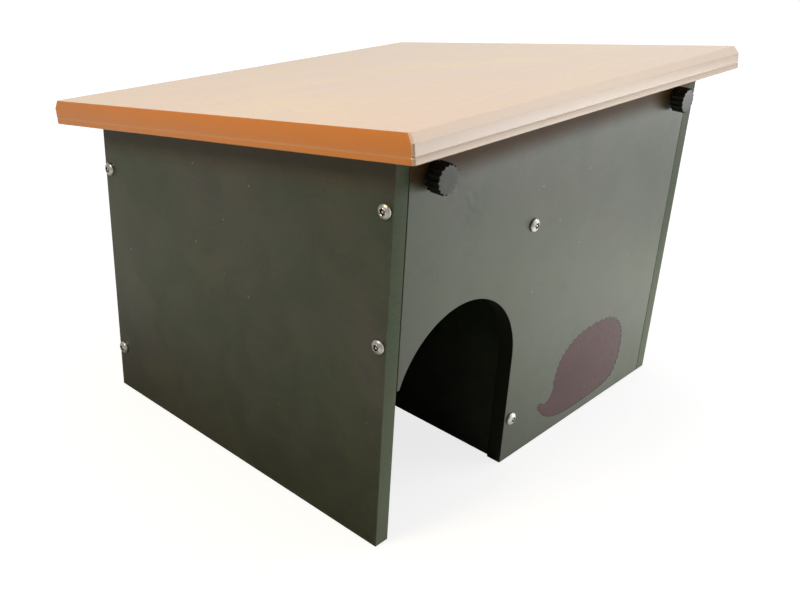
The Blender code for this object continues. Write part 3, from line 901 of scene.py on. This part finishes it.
for side in ("left", "right"):
    shape = bmesh.new()
    ringed(shape, [
        (knob_bore_end, knob_bore_depth, 0.0),
        (knob_bore, knob_bore_depth, 0.0),
        (knob_bore, knob_bore_ease, 0.0),
        (knob_bore + knob_bore_ease, 0.0, 0.0),
        (knob_underside, 0.0, 0.0),
        (knob_radius - knob_edge, 0.0, knob_flute_depth * 0.9),
        (knob_radius - knob_edge * 0.3, knob_edge * 0.3, knob_flute_depth),
        (knob_radius, knob_edge, knob_flute_depth),
        (knob_radius, knob_height - knob_edge, knob_flute_depth),
        (knob_radius - knob_edge * 0.3, knob_height - knob_edge * 0.3, knob_flute_depth),
        (knob_radius - knob_edge, knob_height, knob_flute_depth * 0.9),
        (knob_radius * 0.5, knob_height, 0.0),
        (knob_radius * 0.1, knob_height, 0.0),
    ], steps=knob_flutes * knob_facet_steps, lobes=knob_flutes)
    wear = shape.loops.layers.float_color.new("knob_ridges")
    for face in shape.faces:
        for corner in face.loops:
            above_flute = corner.vert.co.xy.length - knob_radius + knob_flute_depth
            ridge_share = min(max(above_flute / knob_flute_depth, 0.0), 1.0)
            corner[wear] = (ridge_share ** ridge_wear_fall, 0.0, 0.0, 1.0)
    stand_in_place(shape, "knob_" + side, forward, knob_height)
    knob = finished_piece(
        "fine_knob_" + side, shape, [black_plastic], side + "_knob", ["knob_" + side],
        knob_sharp_edge,
    )
    knob.modifiers.new("flat_face", "WEIGHTED_NORMAL").keep_sharp = True

    shape = bmesh.new()
    ringed(shape, [
        (stud_core * 0.5, 0.0, 0.0),
        (stud_core, -stud_end_ease, 0.0),
        (stud_core, -stud_in_knob + stud_end_ease, 0.0),
        (stud_core, -stud_length + stud_tip, 0.0),
        (stud_core - stud_tip_ease, -stud_length, 0.0),
    ])
    thread(
        shape, stud_core, stud_radius, stud_pitch, -stud_length + stud_thread_from,
        stud_length - stud_thread_from - stud_tip, steps=stud_thread_steps,
    )
    stand_in_place(shape, "stud_" + side, forward, 0.0)
    finished_piece(
        "fine_stud_" + side, shape, [bright_steel], side + "_knob", ["stud_" + side]
    )

    shape = bmesh.new()
    ringed(shape, [
        (washer_bore, 0.0, 0.0),
        (washer_radius - washer_edge, 0.0, 0.0),
        (washer_radius, washer_edge, 0.0),
        (washer_radius, washer_thickness - washer_edge, 0.0),
        (washer_radius - washer_edge, washer_thickness, 0.0),
        (washer_bore, washer_thickness, 0.0),
        (washer_bore, 0.0, 0.0),
    ])
    stand_in_place(shape, "washer_" + side, forward, washer_thickness)
    finished_piece(
        "fine_washer_" + side, shape, [bright_steel], side + "_washer", ["washer_" + side]
    )

# Studio. A plain pale floor that keeps the house's shadow, and soft lamps: one at the front right
# with a low one beside it, a warm one at the left and a large one above. Polished faces also mirror
# a low sheen lamp and a white glow on the floor in front that only reflections see, and the floor
# darker close to the house, which in reflections is painted shade.
white = (1.0, 1.0, 1.0)
floor_grey = (0.42, 0.42, 0.42, 1)
floor_half_size = 6.0
floor_drop = 0.0002
floor_glow = 0.80
far_floor_glow = 0.22
far_from = 0.3
far_full = 1.3
floor_mirrored_glow = 0.45
house_half_size = (0.17, 0.155, 0)
mirrored_from = 0.02
mirrored_full = 0.25
card_place = (0.23, -0.33, 0)
card_reach = 0.60
card_glow = 1.4
card_from = 0.150
card_full = 0.162
mirrored_tint = (0.95, 1.0, 0.85, 1)
world_light = 0.06
world_left_mirrored = 0.4
left_end = -0.5
right_start = 0.1

shape = bmesh.new()
bmesh.ops.create_grid(shape, x_segments=1, y_segments=1, size=floor_half_size)
floor_mesh = bpy.data.meshes.new("floor")
shape.to_mesh(floor_mesh)
shape.free()
floor = bpy.data.objects.new("floor", floor_mesh)
floor.location.z = -floor_drop
bpy.context.scene.collection.objects.link(floor)

floor_paint, tree, shader, spot = new_material("floor_paint")
rays = node(tree, "ShaderNodeLightPath").outputs
seen = maths(tree, "MAXIMUM", rays["Is Camera Ray"], rays["Is Transmission Ray"])
off_middle = vectors(tree, "ABSOLUTE", spot)[0]
outside = vectors(tree, "MAXIMUM", vectors(tree, "SUBTRACT", off_middle, house_half_size)[0], (0, 0, 0))[0]
off_house = vectors(tree, "LENGTH", outside)[1]
# Painted shade: the floor's mirrored glow fades out close to the house, as if the house shaded it.
beside_house = maths(
    tree, "MULTIPLY", stretch(tree, off_house, mirrored_from, mirrored_full), floor_mirrored_glow
)
off_card = vectors(tree, "DISTANCE", spot, card_place)[1]
before_house = maths(
    tree, "MULTIPLY", node(tree, "ShaderNodeSeparateXYZ", {0: spot}).outputs["Y"], -1.0
)
on_card = maths(tree, "SUBTRACT", 1.0, stretch(tree, off_card, 0.0, card_reach))
on_card = maths(tree, "MULTIPLY", on_card, stretch(tree, before_house, card_from, card_full))
on_card = maths(tree, "MULTIPLY", on_card, card_glow)
mirrored = maths(tree, "MULTIPLY", rays["Is Glossy Ray"], maths(tree, "ADD", beside_house, on_card))
far = maths(tree, "MULTIPLY", stretch(tree, off_house, far_from, far_full), far_floor_glow)
seen_glow = maths(tree, "MULTIPLY", seen, maths(tree, "ADD", far, floor_glow))
fill(tree, shader.inputs, {
    "Base Color": floor_grey,
    "Roughness": 0.9,
    "Specular IOR Level": 0.0,
    "Emission Color": mixed(tree, rays["Is Glossy Ray"], (*white, 1), mirrored_tint),
    "Emission Strength": maths(tree, "ADD", seen_glow, mirrored),
})
floor_mesh.materials.append(floor_paint)

world = bpy.data.worlds.new("studio")
world.use_nodes = True
tree = world.node_tree
rays = node(tree, "ShaderNodeLightPath").outputs
seen = maths(tree, "MAXIMUM", rays["Is Camera Ray"], rays["Is Transmission Ray"])
way = node(tree, "ShaderNodeTexCoord").outputs["Generated"]
rightward = node(tree, "ShaderNodeSeparateXYZ", {0: way}).outputs["X"]
right_share = maths(
    tree, "MULTIPLY", stretch(tree, rightward, left_end, right_start), 1.0 - world_left_mirrored
)
mirrored = maths(
    tree, "MULTIPLY", rays["Is Glossy Ray"], maths(tree, "ADD", right_share, world_left_mirrored)
)
glow = maths(tree, "MAXIMUM", maths(tree, "MAXIMUM", seen, mirrored), world_light)
fill(tree, tree.nodes["Background"].inputs, {"Color": (*white, 1), "Strength": glow})
bpy.context.scene.world = world

low_right = ((0.95, -0.95, 0.10), (0.1, -0.15, 0.05), (0.9, 0.2))
lamps = {
    "front_right_lamp": ((0.99, -0.85, 1.11), (0.1, -0.20, 0.25), (0.8, 0.8), 3.9, white),
    "low_right_lamp": (*low_right, 2.5, white),
    "low_right_sheen": (*low_right, 4.3, white),
    "left_lamp": ((-0.75, 0.05, 0.85), (-0.19, 0.0, 0.18), (0.3, 0.3), 4.0, (1.0, 0.81, 0.50)),
    "top_lamp": ((0.15, 0.10, 1.80), (0.0, 0.0, 0.20), (1.8, 1.8), 17.0, white),
}
for lamp_name, (lamp_place, aim, lamp_size, power, tint) in lamps.items():
    light = bpy.data.lights.new(lamp_name, "AREA")
    light.shape = "RECTANGLE"
    light.size, light.size_y = lamp_size
    light.energy = power
    light.color = tint
    lamp = bpy.data.objects.new(lamp_name, light)
    lamp.location = lamp_place
    lamp.rotation_euler = (Vector(aim) - Vector(lamp_place)).to_track_quat("-Z", "Y").to_euler()
    lamp.visible_camera = False
    lamp.visible_diffuse = not lamp_name.endswith("sheen")
    bpy.context.scene.collection.objects.link(lamp)

# The camera, at the photograph's place and angle.
camera = bpy.data.objects.new("camera", bpy.data.cameras.new("camera"))
camera.data.sensor_width = 36
camera.data.lens = 44.004
camera.data.shift_x = -0.001275
camera.data.shift_y = 0.005625
camera.location = (-0.5924, -0.51259, 0.4547)
camera.rotation_euler = [math.radians(turn) for turn in (63.7594, -3.1122, -48.1046)]
bpy.context.scene.collection.objects.link(camera)
bpy.context.scene.camera = camera
bpy.context.scene.view_settings.view_transform = "Standard"
